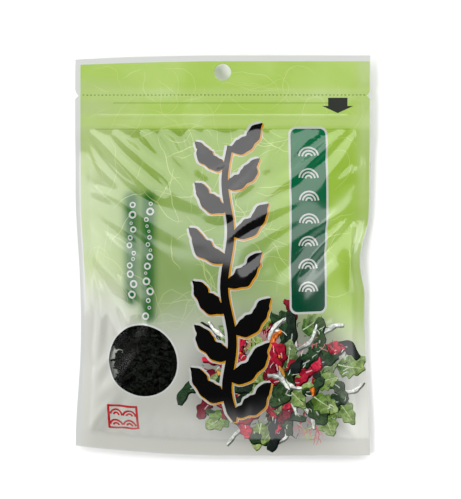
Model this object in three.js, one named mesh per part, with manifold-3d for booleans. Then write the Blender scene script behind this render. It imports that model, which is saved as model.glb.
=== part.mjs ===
// A sealed zip pouch of dried cut wakame, lying on its back.
// Millimetres, +Z up. The printed front faces +Z, the hang hole is towards +Y, and the origin is on
// the surface under the pouch, below the middle of its box.
import * as THREE from "three";
import { mergeVertices } from "three/addons/utils/BufferGeometryUtils.js";
import Module from "manifold-3d";

const wasm = await Module();
wasm.setup();

// Driving dimensions of the pouch
const WIDTH = 140; // flat film, side to side
const LENGTH = 190; // filled, from the hanging edge to the bottom edge
const FILM = 0.6; // stands for a laminate of about 0.1
const WELD_GAP = 0.2; // between the two films where they are welded
const SIDE_SEAL = 6.5;
const SEAL_RAMP = 2.5; // where the films part beside a seal
const BOTTOM_SEAL = 8.5;
const TOP_SEAL = 18.5;
const SEAM_LIFT = 5; // the seals' height above the surface
const HEADER_DROOP = 1.8; // how far the hanging edge sinks below the other seals
const BELLY = 17; // rise of the front film above the seals
const BACK_SAG = 9; // fall of the back film before the surface stops it
const HANG_HOLE = { diameter: 8, drop: 8, sides: 28 };
const TEAR_NOTCH = { depth: 2, width: 1.6, drop: 18.8 };

// Driving dimensions of the zip: two tapes with a rib that snaps into a groove
const ZIP = { drop: 23, tape: 12, thickness: 0.5, halfLength: 60.5, halfHeight: 1.3, clearance: 0.15 };
const RIB = { neck: 0.7, head: 1.3, headHeight: 0.55, bevel: 0.1 };
const GROOVE = { wall: 0.5, inside: 1.9, mouth: 1.2, lip: 0.3 };

// Driving dimensions of the contents: a heap whose surface is flakes, and flakes that stand out of it
const HEAP = {
  u: 2.5,
  v: -33,
  halfWidth: 56,
  halfLength: 49,
  squareness: 3.2,
  ragged: 0.04,
  fill: 0.62,
  rim: 1.2,
  underside: 0.8,
  cell: 3,
};
const LYING_FLAKE = {
  count: 260,
  halfLength: [5, 9],
  halfWidth: [2.2, 4],
  lift: [0.2, 2],
  tilt: [-0.24, 0.24],
  cup: 0.9,
};
const STANDING_FLAKE = {
  count: 70,
  length: [10, 18],
  width: [4, 7],
  ridge: 1.2,
  steps: 2,
  taper: 0.55,
  sunk: 1.4,
  climb: [0.2, 0.9],
  curl: [0.25, 0.7],
  twist: [-0.35, 0.35],
  lean: [-0.5, 0.5],
};
const CLEAR = 0.5; // kept between the contents and the films
const SMALLEST_FACET = 0.1; // smaller detail is smoothed off the fused heap

const HALF_WIDTH = WIDTH / 2;
const HALF_LENGTH = LENGTH / 2;
const INNER_SIDE = HALF_WIDTH - SIDE_SEAL;
const INNER_BOTTOM = BOTTOM_SEAL - HALF_LENGTH;
const ZIP_TOP = HALF_LENGTH - ZIP.drop;
const ZIP_MIDDLE = ZIP_TOP - ZIP.tape / 2;
const ZIP_BOTTOM = ZIP_TOP - ZIP.tape;
const BELLY_TOP = ZIP_BOTTOM - 1;

// How the full belly draws the film's edges in, and where a kink or a curl lifts or turns them
const LEFT_PULL = { depth: 2.6, middle: -32, reach: 62 };
const RIGHT_PULL = { depth: 2.4, middle: -30, reach: 62 };
const RIGHT_KINK = { depth: 3.2, lift: 2.4, middle: -1, reach: 19 };
const LEFT_KINK = { depth: 0, lift: 1.2, middle: -26, reach: 26 };
const KINK_START = 48; // from the pouch's middle line
const KINK_RUN = 20;
const CORNER_CURL = { bottom: 4.6, bottomStart: -35, top: 1.9, topStart: 74, power: 1.7 };

// Where along the pouch the belly is fullest, and how fast it falls off each way
const BELLY_SHAPE = { fullest: 0.36, below: 0.6, above: 1.07, sideways: 0.85 };

// Folds that the slack front film has taken, as valleys from the seals towards the belly
const FOLDS = [
  { from: [-63, 51], to: [-45, 31], depth: 1.6, width: 4.5 },
  { from: [-63, 24], to: [-44, 3], depth: 2.2, width: 4.5 },
  { from: [-62, -4], to: [-50, -28], depth: 2.0, width: 4.5 },
  { from: [-62, -38], to: [-53, -56], depth: 1.6, width: 4.5 },
  { from: [63, 54], to: [54, 18], depth: 2.0, width: 4.5 },
  { from: [63, -1], to: [46, 8], depth: 3.0, width: 5.5 },
  { from: [-36, 25], to: [-4, 13], depth: 1.2, width: 5.0 },
  { from: [8, -3], to: [50, -6], depth: 1.4, width: 5.0 },
  { from: [-58, -84], to: [-48, -66], depth: 1.8, width: 4.5 },
  { from: [58, -84], to: [50, -67], depth: 1.8, width: 4.5 },
];

const clamp01 = (t) => Math.min(1, Math.max(0, t));

function smooth(t) {
  const c = clamp01(t);
  return c * c * (3 - 2 * c);
}

// A rounded hump that is 1 at t = 0 and ends at t = -1 and 1
function hump(t) {
  return Math.max(0, 1 - t * t) ** 2;
}

// Seeded random numbers from 0 to 1, the same on every run
function seeded(seed) {
  let state = seed;
  return () => {
    state = (state + 0x6d2b79f5) | 0;
    let mixed = Math.imul(state ^ (state >>> 15), 1 | state);
    mixed = (mixed + Math.imul(mixed ^ (mixed >>> 7), 61 | mixed)) ^ mixed;
    return ((mixed ^ (mixed >>> 14)) >>> 0) / 4294967296;
  };
}

// How much a pull or a kink acts at v, from 0 to 1
const actsAt = (pull, v) => hump((v - pull.middle) / pull.reach);

// Where the flat film's point (u, v) lies in plan once the belly has drawn the edges in
function plan(u, v) {
  const side = u / HALF_WIDTH;
  const pulls = side < 0 ? [LEFT_PULL, LEFT_KINK] : [RIGHT_PULL, RIGHT_KINK];
  const drawnIn = pulls.reduce((sum, pull) => sum + pull.depth * actsAt(pull, v), 0);
  const { bottom, bottomStart, top, topStart, power } = CORNER_CURL;
  const curl = Math.max(0, -side) ** power;
  const bottomCurl = bottom * smooth((bottomStart - v) / (HALF_LENGTH + bottomStart));
  const topCurl = top * smooth((v - topStart) / (HALF_LENGTH - topStart));
  return [u - side * drawnIn, v + curl * (bottomCurl - topCurl)];
}

// Height of the plane where the two films meet
function seam(u, v) {
  const droop = HEADER_DROOP * smooth((v - (HALF_LENGTH - TOP_SEAL)) / TOP_SEAL);
  const kink = u < 0 ? LEFT_KINK : RIGHT_KINK;
  return SEAM_LIFT - droop + kink.lift * actsAt(kink, v) * smooth((Math.abs(u) - KINK_START) / KINK_RUN);
}

// 1 inside the pouch and 0 on its seals
function inside(u, v) {
  const sides = clamp01((INNER_SIDE - Math.abs(u)) / SEAL_RAMP);
  const bottom = clamp01((v - INNER_BOTTOM) / SEAL_RAMP);
  const top = clamp01((HALF_LENGTH - TOP_SEAL - v) / SEAL_RAMP);
  return sides * bottom * top;
}

// Share of the belly's rise: fullest in the lower middle, nothing at the seals and at the zip
function belly(u, v) {
  const { fullest, below, above, sideways } = BELLY_SHAPE;
  const along = clamp01((v - INNER_BOTTOM) / (BELLY_TOP - INNER_BOTTOM));
  const lengthwise = (along / fullest) ** below * ((1 - along) / (1 - fullest)) ** above;
  const across = clamp01(Math.abs(u) / INNER_SIDE);
  return lengthwise * (1 - across * across) ** sideways;
}

// How far the folds push the front film down at (u, v); each valley runs on a little past its ends
function folds(u, v) {
  const overrun = 0.4;
  let depth = 0;
  for (const fold of FOLDS) {
    const line = new THREE.Vector2(fold.to[0] - fold.from[0], fold.to[1] - fold.from[1]);
    const offset = new THREE.Vector2(u - fold.from[0], v - fold.from[1]);
    const along = offset.dot(line) / line.lengthSq();
    const away = Math.abs(offset.cross(line)) / line.length() / fold.width;
    depth += fold.depth * hump((2 * along - 1) / (1 + 2 * overrun)) * Math.exp(-away * away);
  }
  return depth * smooth(3 * belly(u, v));
}

function frontInner(u, v) {
  const rise = inside(u, v) * ZIP.halfHeight + BELLY * belly(u, v) - folds(u, v);
  return seam(u, v) + WELD_GAP / 2 + rise;
}

function backInner(u, v) {
  const fall = inside(u, v) * ZIP.halfHeight + BACK_SAG * belly(u, v);
  return Math.max(FILM, seam(u, v) - WELD_GAP / 2 - fall);
}

// Lines of a grid: each pair of stops is divided into its number of cells
function gridLines(stops, cells) {
  const lines = [stops[0]];
  cells.forEach((count, i) => {
    for (let k = 1; k <= count; k++) lines.push(THREE.MathUtils.lerp(stops[i], stops[i + 1], k / count));
  });
  return lines;
}

const COLUMNS = gridLines(
  [-HALF_WIDTH, -INNER_SIDE, SEAL_RAMP - INNER_SIDE, INNER_SIDE - SEAL_RAMP, INNER_SIDE, HALF_WIDTH],
  [1, 1, 21, 1, 1],
);
const ROWS = gridLines(
  [-HALF_LENGTH, INNER_BOTTOM, BELLY_TOP, ZIP_TOP + 1, HALF_LENGTH - TOP_SEAL, HALF_LENGTH],
  [1, 25, 3, 1, 4],
);

// Height at (u, v) of the facets that span a surface's grid points
function facetHeight(surface, u, v) {
  const cellOf = (lines, at) => Math.max(0, lines.findIndex((line, k) => k > 0 && at <= line) - 1);
  const [i, j] = [cellOf(COLUMNS, u), cellOf(ROWS, v)];
  const s = clamp01((u - COLUMNS[i]) / (COLUMNS[i + 1] - COLUMNS[i]));
  const t = clamp01((v - ROWS[j]) / (ROWS[j + 1] - ROWS[j]));
  const corner = (k, m) => surface(COLUMNS[i + k], ROWS[j + m]);
  const [near, far] = [corner(0, 0), corner(1, 1)];
  if (s > t) return near + s * (corner(1, 0) - near) + t * (far - corner(1, 0));
  return near + t * (corner(0, 1) - near) + s * (far - corner(0, 1));
}

// A closed sheet between two faces over a grid, split into triangles alike on both faces
function sheetGeometry(columnLines, rowLines, lowerFace, upperFace) {
  const columns = columnLines.length;
  const rows = rowLines.length;
  const layer = columns * rows;
  const positions = [];
  for (const face of [lowerFace, upperFace]) {
    for (const row of rowLines) for (const column of columnLines) positions.push(...face(column, row));
  }
  const index = [];
  const quad = (a, b, c, d) => index.push(a, b, c, a, c, d);
  for (let j = 0; j + 1 < rows; j++) {
    for (let i = 0; i + 1 < columns; i++) {
      const corner = j * columns + i;
      const [a, b, c, d] = [corner, corner + 1, corner + columns + 1, corner + columns];
      index.push(a, c, b, a, d, c);
      quad(a + layer, b + layer, c + layer, d + layer);
    }
  }
  for (let i = 0; i + 1 < columns; i++) {
    const far = layer - columns + i;
    quad(i, i + 1, i + 1 + layer, i + layer);
    quad(far + 1, far, far + layer, far + 1 + layer);
  }
  for (let j = 0; j + 1 < rows; j++) {
    const left = j * columns;
    const right = left + columns - 1;
    quad(left + columns, left, left + layer, left + columns + layer);
    quad(right, right + columns, right + columns + layer, right + layer);
  }
  const geometry = new THREE.BufferGeometry();
  geometry.setAttribute("position", new THREE.Float32BufferAttribute(positions, 3));
  return geometry.setIndex(index);
}

function solidOf(geometry) {
  const bare = geometry.clone();
  bare.deleteAttribute("normal");
  bare.deleteAttribute("uv");
  const merged = mergeVertices(bare, 1e-4);
  const vertProperties = merged.attributes.position.array;
  const triVerts = new Uint32Array(merged.index.array);
  return new wasm.Manifold(new wasm.Mesh({ numProp: 3, vertProperties, triVerts }));
}

function geometryOf(solid) {
  const mesh = solid.getMesh();
  const geometry = new THREE.BufferGeometry();
  geometry.setAttribute("position", new THREE.BufferAttribute(mesh.vertProperties, 3));
  return geometry.setIndex(new THREE.BufferAttribute(mesh.triVerts, 1));
}

// The hang hole and the two tear notches, as one cutter that passes through both films
function filmCutter() {
  const depth = 4 * SEAM_LIFT;
  const hole = new THREE.CylinderGeometry(
    HANG_HOLE.diameter / 2,
    HANG_HOLE.diameter / 2,
    depth,
    HANG_HOLE.sides,
  );
  hole.rotateX(Math.PI / 2);
  hole.translate(0, HALF_LENGTH - HANG_HOLE.drop, SEAM_LIFT);
  let cutter = solidOf(hole);
  for (const side of [-1, 1]) {
    const notch = new THREE.Shape();
    notch.moveTo(side * (HALF_WIDTH + 1), TEAR_NOTCH.width);
    notch.lineTo(side * (HALF_WIDTH - TEAR_NOTCH.depth), 0);
    notch.lineTo(side * (HALF_WIDTH + 1), -TEAR_NOTCH.width);
    const wedge = new THREE.ExtrudeGeometry(notch, { depth, bevelEnabled: false });
    wedge.translate(0, HALF_LENGTH - TEAR_NOTCH.drop, SEAM_LIFT - depth / 2);
    cutter = cutter.add(solidOf(wedge));
  }
  return cutter;
}

function filmGeometry(lower, upper) {
  const face = (height) => (u, v) => [...plan(u, v), height(u, v)];
  const sheet = sheetGeometry(COLUMNS, ROWS, face(lower), face(upper));
  return geometryOf(solidOf(sheet).subtract(filmCutter()));
}

// A zip strip: a profile of (along the pouch, height above the seam) points, run across the pouch
function stripGeometry(points) {
  const profile = new THREE.Shape(points.map(([along, height]) => new THREE.Vector2(along, height)));
  const strip = new THREE.ExtrudeGeometry(profile, { depth: 2 * ZIP.halfLength, bevelEnabled: false });
  strip.translate(0, 0, -ZIP.halfLength);
  strip.applyMatrix4(new THREE.Matrix4().makeBasis(
    new THREE.Vector3(0, 1, 0),
    new THREE.Vector3(0, 0, 1),
    new THREE.Vector3(1, 0, 0),
  ));
  return strip.translate(0, ZIP_MIDDLE, SEAM_LIFT);
}

const TAPE_OUTER = WELD_GAP / 2 + ZIP.halfHeight - ZIP.clearance;
const TAPE_INNER = TAPE_OUTER - ZIP.thickness;

function ribStrip() {
  const half = ZIP.tape / 2;
  const tip = ZIP.clearance - TAPE_INNER;
  const shoulder = tip + RIB.headHeight;
  return stripGeometry([
    [-half, TAPE_INNER],
    [-RIB.neck / 2, TAPE_INNER],
    [-RIB.neck / 2, shoulder],
    [-RIB.head / 2, shoulder - RIB.bevel],
    [-RIB.neck / 2, tip],
    [RIB.neck / 2, tip],
    [RIB.head / 2, shoulder - RIB.bevel],
    [RIB.neck / 2, shoulder],
    [RIB.neck / 2, TAPE_INNER],
    [half, TAPE_INNER],
    [half, TAPE_OUTER],
    [-half, TAPE_OUTER],
  ]);
}

function grooveStrip() {
  const half = ZIP.tape / 2;
  const rim = TAPE_INNER - ZIP.clearance;
  const inner = GROOVE.inside / 2;
  const outer = inner + GROOVE.wall;
  const mouth = GROOVE.mouth / 2;
  const rightHalf = [
    [inner, -TAPE_INNER],
    [inner, rim - GROOVE.lip],
    [mouth, rim - GROOVE.lip / 2],
    [mouth, rim],
    [outer, rim],
    [outer, -TAPE_INNER],
    [half, -TAPE_INNER],
    [half, -TAPE_OUTER],
  ];
  const leftHalf = rightHalf.map(([along, height]) => [-along, height]).reverse();
  return stripGeometry([...leftHalf, ...rightHalf]);
}

// Flakes that lie in the heap's surface, each a tilted oval leaf with a turned-up rim
function lyingFlakes(random) {
  const pick = ([low, high]) => THREE.MathUtils.lerp(low, high, random());
  return Array.from({ length: LYING_FLAKE.count }, () => ({
    u: HEAP.u + HEAP.halfWidth * (2 * random() - 1),
    v: HEAP.v + HEAP.halfLength * (2 * random() - 1),
    heading: Math.PI * random(),
    halfLength: pick(LYING_FLAKE.halfLength),
    halfWidth: pick(LYING_FLAKE.halfWidth),
    lift: pick(LYING_FLAKE.lift),
    tilt: pick(LYING_FLAKE.tilt),
  }));
}

// How far the topmost lying flake raises the heap at (u, v)
function flakeRelief(flakes, u, v) {
  let relief = 0;
  for (const flake of flakes) {
    const [du, dv] = [u - flake.u, v - flake.v];
    const along = du * Math.cos(flake.heading) + dv * Math.sin(flake.heading);
    const across = dv * Math.cos(flake.heading) - du * Math.sin(flake.heading);
    const spread = (along / flake.halfLength) ** 2 + (across / flake.halfWidth) ** 2;
    if (spread > 1) continue;
    relief = Math.max(relief, flake.lift + flake.tilt * along + LYING_FLAKE.cup * spread);
  }
  return relief;
}

// Where the heap's point (s, t) lies on the flat film; s and t run from -1 to 1 and the rim is ragged
function heapSpot(s, t) {
  const radius = Math.max(Math.abs(s), Math.abs(t));
  const angle = Math.atan2(t, s);
  const power = HEAP.squareness;
  const rounded = (Math.abs(Math.cos(angle)) ** power + Math.abs(Math.sin(angle)) ** power) ** (-1 / power);
  const ragged = 1 + HEAP.ragged * Math.sin(7 * angle) * Math.sin(18 * angle);
  const reach = radius * rounded * ragged;
  const u = HEAP.u + HEAP.halfWidth * reach * Math.cos(angle);
  const v = HEAP.v + HEAP.halfLength * reach * Math.sin(angle);
  return { u, v, radius };
}

const heapFloor = (u, v) => facetHeight(backInner, u, v) + CLEAR;
const heapCeiling = (u, v) => facetHeight(frontInner, u, v) - CLEAR;

function heapUnderside(s, t) {
  const { u, v, radius } = heapSpot(s, t);
  return new THREE.Vector3(u, v, heapFloor(u, v) + HEAP.underside * radius ** 4);
}

function heapTop(flakes, s, t) {
  const { u, v, radius } = heapSpot(s, t);
  const floor = heapUnderside(s, t).z;
  const room = heapCeiling(u, v) - floor;
  const body = HEAP.rim + Math.max(0, HEAP.fill * room - HEAP.rim) * Math.sqrt(1 - radius ** 4);
  return new THREE.Vector3(u, v, floor + Math.min(room, body + flakeRelief(flakes, u, v)));
}

function heapBody(flakes) {
  const cells = (length) => [Math.round(length / HEAP.cell)];
  const face = (point) => (s, t) => {
    const { x: u, y: v, z } = point(s, t);
    return [...plan(u, v), z];
  };
  return solidOf(sheetGeometry(
    gridLines([-1, 1], cells(2 * HEAP.halfWidth)),
    gridLines([-1, 1], cells(2 * HEAP.halfLength)),
    face(heapUnderside),
    face((s, t) => heapTop(flakes, s, t)),
  ));
}

// A flake's cross section, two edges and a ridge, moved up or down until it is clear of both films
function flakeSection(centre, across, through, halfWidth) {
  const [left, right, ridge] = [centre.clone(), centre.clone(), centre.clone()];
  left.addScaledVector(across, -halfWidth);
  right.addScaledVector(across, halfWidth);
  ridge.addScaledVector(through, STANDING_FLAKE.ridge);
  const corners = [left, right, ridge];
  const rise = Math.max(...corners.map((c) => heapFloor(c.x, c.y) - c.z));
  const fall = Math.min(...corners.map((c) => heapCeiling(c.x, c.y) - c.z));
  if (rise > fall) return null;
  const shift = THREE.MathUtils.clamp(0, rise, fall);
  return corners.flatMap((c) => [...plan(c.x, c.y), c.z + shift]);
}

// One standing flake: a ridged blade that leaves the heap, curls over and narrows to its tip
function flakeSolid(root, heading, random) {
  const pick = ([low, high]) => THREE.MathUtils.lerp(low, high, random());
  const step = pick(STANDING_FLAKE.length) / STANDING_FLAKE.steps;
  const width = pick(STANDING_FLAKE.width);
  const curl = pick(STANDING_FLAKE.curl);
  const twist = pick(STANDING_FLAKE.twist);
  let climb = pick(STANDING_FLAKE.climb);
  let lean = pick(STANDING_FLAKE.lean);
  let turn = heading;
  const centre = root.clone();
  const positions = [];
  for (let k = 0; k <= STANDING_FLAKE.steps; k++) {
    const flat = new THREE.Vector3(Math.cos(turn), Math.sin(turn), 0);
    const ahead = flat.clone().multiplyScalar(Math.cos(climb)).setZ(Math.sin(climb));
    const across = new THREE.Vector3(-flat.y, flat.x, 0).applyAxisAngle(ahead, lean);
    const through = new THREE.Vector3().crossVectors(ahead, across);
    const taper = 1 - STANDING_FLAKE.taper * (k / STANDING_FLAKE.steps) ** 2;
    const section = flakeSection(centre, across, through, (width / 2) * taper);
    if (!section) break;
    positions.push(...section);
    centre.addScaledVector(ahead, step);
    climb -= curl;
    turn += twist;
    lean += twist;
  }
  const last = positions.length / 3 - 3;
  if (last < 3) return null;
  const index = [0, 2, 1, last, last + 1, last + 2];
  for (let first = 0; first < last; first += 3) {
    for (let i = 0; i < 3; i++) {
      const [a, b] = [first + i, first + ((i + 1) % 3)];
      index.push(a, b, b + 3, a, b + 3, a + 3);
    }
  }
  const geometry = new THREE.BufferGeometry();
  geometry.setAttribute("position", new THREE.Float32BufferAttribute(positions, 3));
  return solidOf(geometry.setIndex(index));
}

// The contents as one body: the heap, and standing flakes spread over it by the golden angle
function wakameHeap() {
  const random = seeded(7);
  const lying = lyingFlakes(random);
  const goldenAngle = Math.PI * (3 - Math.sqrt(5));
  const standing = [];
  for (let i = 0; i < STANDING_FLAKE.count; i++) {
    const radius = Math.sqrt((i + 0.5) / STANDING_FLAKE.count);
    const angle = i * goldenAngle;
    const root = heapTop(lying, radius * Math.cos(angle), radius * Math.sin(angle));
    root.z -= STANDING_FLAKE.sunk;
    const flake = flakeSolid(root, 2 * Math.PI * random(), random);
    if (flake) standing.push(flake);
  }
  const fused = wasm.Manifold.union([heapBody(lying), ...standing]);
  const bodies = fused.decompose().sort((a, b) => b.volume() - a.volume());
  return geometryOf(bodies[0].simplify(SMALLEST_FACET));
}

const PRINT = new THREE.MeshStandardMaterial({ color: 0x9fc75a, roughness: 0.22, metalness: 0 });
const BACK_PRINT = new THREE.MeshStandardMaterial({ color: 0xdfe8cf, roughness: 0.25, metalness: 0 });
const ZIP_PLASTIC = new THREE.MeshStandardMaterial({ color: 0xe9ece6, roughness: 0.4, metalness: 0 });
const DRIED_WAKAME = new THREE.MeshStandardMaterial({ color: 0x1d261b, roughness: 0.7, metalness: 0 });

function named(name, geometry, material) {
  geometry.computeVertexNormals();
  const mesh = new THREE.Mesh(geometry, material);
  mesh.name = name;
  return mesh;
}

const pouch = new THREE.Group();
pouch.add(
  named("front_film", filmGeometry(frontInner, (u, v) => frontInner(u, v) + FILM), PRINT),
  named("back_film", filmGeometry((u, v) => backInner(u, v) - FILM, backInner), BACK_PRINT),
  named("zip_rib_strip", ribStrip(), ZIP_PLASTIC),
  named("zip_groove_strip", grooveStrip(), ZIP_PLASTIC),
  named("wakame_heap", wakameHeap(), DRIED_WAKAME),
);

export default pouch;
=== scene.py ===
# Looks of a sealed zip pouch of dried cut wakame, lying on its back.
# Sizes are millimetres: (u, v) is a place on the flat film, from its middle, with v towards the hang hole.
# Meshes are made in metres, in the frame of the solids, and lights and the camera are placed in metres.
import math
import random

import bpy
import numpy as np
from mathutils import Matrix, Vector
from mathutils.geometry import delaunay_2d_cdt
from mathutils.kdtree import KDTree


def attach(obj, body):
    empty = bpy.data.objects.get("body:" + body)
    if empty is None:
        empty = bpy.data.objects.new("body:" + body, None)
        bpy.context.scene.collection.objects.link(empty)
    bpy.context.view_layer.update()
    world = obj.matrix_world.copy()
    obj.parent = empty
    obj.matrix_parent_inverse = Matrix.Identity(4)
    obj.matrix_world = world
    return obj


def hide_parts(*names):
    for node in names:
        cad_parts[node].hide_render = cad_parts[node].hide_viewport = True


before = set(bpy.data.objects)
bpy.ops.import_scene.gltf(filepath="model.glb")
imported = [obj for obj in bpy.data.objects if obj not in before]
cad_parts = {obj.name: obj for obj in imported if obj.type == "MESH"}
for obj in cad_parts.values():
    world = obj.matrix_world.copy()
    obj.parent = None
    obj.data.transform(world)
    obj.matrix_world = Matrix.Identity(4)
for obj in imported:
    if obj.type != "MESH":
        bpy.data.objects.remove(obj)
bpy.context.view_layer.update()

MM = 0.001

# Driving dimensions of the pouch, as in the solids
FILM = 0.6
SKIN = 0.2  # thickness of the film that is shown
WELD_GAP = 0.2
SKIN_GAP = 0.05  # left beside each skin at the weld
SEAL_RAMP = 2.5
TOP_SEAL = 18.5
SEAM_LIFT = 5
HEADER_DROOP = 0.15  # less than in the solids, as the film's edge curls up
SIDE_DROOP = 1.6  # of the side seals, which the solids leave flat
DROOP_FADE = 13  # length below the zip over which the side seals start to droop
BELLY = 17
BACK_SAG = 9
HALF_WIDTH = 70
HALF_LENGTH = 95
INNER_SIDE = 63.5
INNER_BOTTOM = -86.5
ZIP_TOP = 72
ZIP_MIDDLE = 66
ZIP_BOTTOM = 60
ZIP_HALF_HEIGHT = 1.3
ZIP_HALF_LENGTH = 60.5
ZIP_RIB = {"height": 0.08, "half_width": 1.6}  # as it shows in the film
BELLY_TOP = ZIP_BOTTOM - 1
LEVEL_START = 8  # above it the seals rise until the front film is level round the zip
HOLE = {"v": 87, "radius": 4}
NOTCH = {"v": 76.2, "depth": 2, "half_width": 1.6}
WINDOW = {"u": -37.6, "v": -48.6, "radius": 16.8, "rim": 0.8}

# How the belly draws the edges in, and where kinks and curls turn them, as in the solids
LEFT_PULL = {"depth": 2.6, "middle": -32, "reach": 62}
RIGHT_PULL = {"depth": 2.4, "middle": -30, "reach": 62}
RIGHT_KINK = {"depth": 3.2, "lift": 2.4, "middle": -1, "reach": 19}
LEFT_KINK = {"lift": 1.2, "middle": -26, "reach": 26}
KINK_START, KINK_RUN = 48, 20
CURL = {"bottom": 4.6, "bottom_start": -35, "top": 1.9, "top_start": 74, "power": 1.7}
# Folds that run in from the seals: both ends, the depth and the half width
FOLDS = [
    ((-63, 51), (-45, 31), 1.6, 4.5),
    ((-63, 24), (-44, 3), 2.2, 4.5),
    ((-62, -4), (-50, -28), 2.0, 4.5),
    ((-62, -38), (-53, -56), 1.6, 4.5),
    ((63, 54), (54, 18), 2.0, 4.5),
    ((63, -1), (46, 8), 3.0, 5.5),
    ((-36, 25), (-4, 13), 1.2, 5.0),
    ((8, -3), (50, -6), 1.4, 5.0),
    ((-57, -34), (-55, -78), 2.2, 2.6),
    ((-50, -66), (-42, -84), 1.4, 3.0),
    ((-58, -84), (-48, -66), 1.8, 4.5),
    ((58, -84), (50, -67), 1.8, 4.5),
]
# Small dents of the front film alone, near its zip and across its middle
DENTS = [
    ((-44, 55), (-30, 49), 0.7, 3.0),
    ((-26, 47), (-14, 34), 0.9, 3.2),
    ((-14, 40), (-8, 27), 0.8, 3.0),
    ((6, 52), (20, 46), 0.8, 3.4),
    ((14, 40), (26, 32), 0.8, 3.0),
    ((34, 50), (48, 42), 0.9, 3.2),
    ((32, 30), (50, 20), 0.9, 3.0),
    ((50, 44), (60, 24), 1.0, 3.2),
    ((-6, 14), (46, 11), 0.7, 2.6),
    ((-34, 8), (-14, 2), 0.8, 3.0),
]

# Where the back film clings near the window, beside the heap
CLING = {"u": -54, "v": -49, "half_width": 13, "half_length": 25, "share": 0.93, "room": 1.2}

# Spacing of the grid that carries the film's shape
CELL = 1.5


def clamp01(t):
    return np.clip(t, 0.0, 1.0)


def smooth(t):
    c = clamp01(t)
    return c * c * (3 - 2 * c)


def over(t, span):
    """Eases from 0 to 1 across a span, which may run either way."""
    start, end = span
    return smooth((t - start) / (end - start))


def hump(t):
    return np.maximum(0.0, 1 - t * t) ** 2


def acts_at(pull, v):
    return hump((v - pull["middle"]) / pull["reach"])


def plan(u, v):
    """Where a point of the flat film lies in plan, once the edges are drawn in."""
    side = u / HALF_WIDTH
    left = LEFT_PULL["depth"] * acts_at(LEFT_PULL, v)
    right = sum(p["depth"] * acts_at(p, v) for p in (RIGHT_PULL, RIGHT_KINK))
    curl = np.maximum(0.0, -side) ** CURL["power"]
    bottom = CURL["bottom"] * over(v, (CURL["bottom_start"], -HALF_LENGTH))
    top = CURL["top"] * over(v, (CURL["top_start"], HALF_LENGTH))
    return u - side * np.where(side < 0, left, right), v + curl * (bottom - top)


def seam(u, v):
    """Height of the plane where the two films meet."""
    droop = HEADER_DROOP * clamp01((v - (HALF_LENGTH - TOP_SEAL)) / TOP_SEAL) ** 1.2
    seal = over(np.abs(u), (INNER_SIDE, HALF_WIDTH))
    droop = droop + SIDE_DROOP * seal * smooth((BELLY_TOP - v) / DROOP_FADE)
    start = smooth((np.abs(u) - KINK_START) / KINK_RUN)
    kink = [k["lift"] * acts_at(k, v) for k in (LEFT_KINK, RIGHT_KINK)]
    level = ZIP_HALF_HEIGHT * (1 - inside(u, v)) * over(v, (LEVEL_START, BELLY_TOP))
    return SEAM_LIFT - droop + np.where(u < 0, *kink) * start + level


def inside(u, v):
    """1 inside the pouch and 0 on its seals."""
    sides = clamp01((INNER_SIDE - np.abs(u)) / SEAL_RAMP)
    bottom = clamp01((v - INNER_BOTTOM) / SEAL_RAMP)
    top = clamp01((HALF_LENGTH - TOP_SEAL - v) / SEAL_RAMP)
    return sides * bottom * top


def belly(u, v):
    """Share of the belly's rise: fullest in the lower middle, none at the seals and the zip."""
    fullest = 0.36
    rise_power, fall_power, side_power = 0.6, 1.07, 0.85
    along = clamp01((v - INNER_BOTTOM) / (BELLY_TOP - INNER_BOTTOM))
    lengthwise = (along / fullest) ** rise_power * ((1 - along) / (1 - fullest)) ** fall_power
    across = clamp01(np.abs(u) / INNER_SIDE)
    return lengthwise * (1 - across * across) ** side_power


def valley(u, v, start, end, width):
    """Depth from 0 to 1 of a valley along a line, which runs on a little past its ends."""
    overrun = 0.4
    line = np.subtract(end, start)
    du, dv = u - start[0], v - start[1]
    along = (du * line[0] + dv * line[1]) / line.dot(line)
    away = np.abs(du * line[1] - dv * line[0]) / math.hypot(*line) / width
    return hump((2 * along - 1) / (1 + 2 * overrun)) * np.exp(-away * away)


def folds(u, v):
    depth = sum(d * valley(u, v, a, b, w) for a, b, d, w in FOLDS + DENTS)
    return depth * smooth(3 * belly(u, v))


def front_height(u, v):
    """Outer face of the front film, before the slack film is relaxed."""
    rise = inside(u, v) * ZIP_HALF_HEIGHT + BELLY * belly(u, v) - folds(u, v)
    return seam(u, v) + WELD_GAP / 2 + rise + SKIN + SKIN_GAP


def back_height(u, v):
    """Outer face of the back film, which lies on the surface under the belly."""
    fall = inside(u, v) * ZIP_HALF_HEIGHT + BACK_SAG * belly(u, v)
    sunk = seam(u, v) - WELD_GAP / 2 - fall
    skin = SKIN + SKIN_GAP
    return np.maximum(FILM, sunk) - skin - (FILM - skin) * smooth(fall)


def grid_cells(rows, columns):
    """Four-sided faces over a grid that has one point more each way."""
    first = np.arange(rows)[:, None] * (columns + 1) + np.arange(columns)
    return first.reshape(-1, 1) + np.array([0, 1, columns + 2, columns + 1])


def normalized(rows):
    return rows / np.maximum(1e-9, np.linalg.norm(rows, axis=-1, keepdims=True))


def grid_normals(points):
    return normalized(np.cross(np.gradient(points, axis=1), np.gradient(points, axis=0)))


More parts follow.
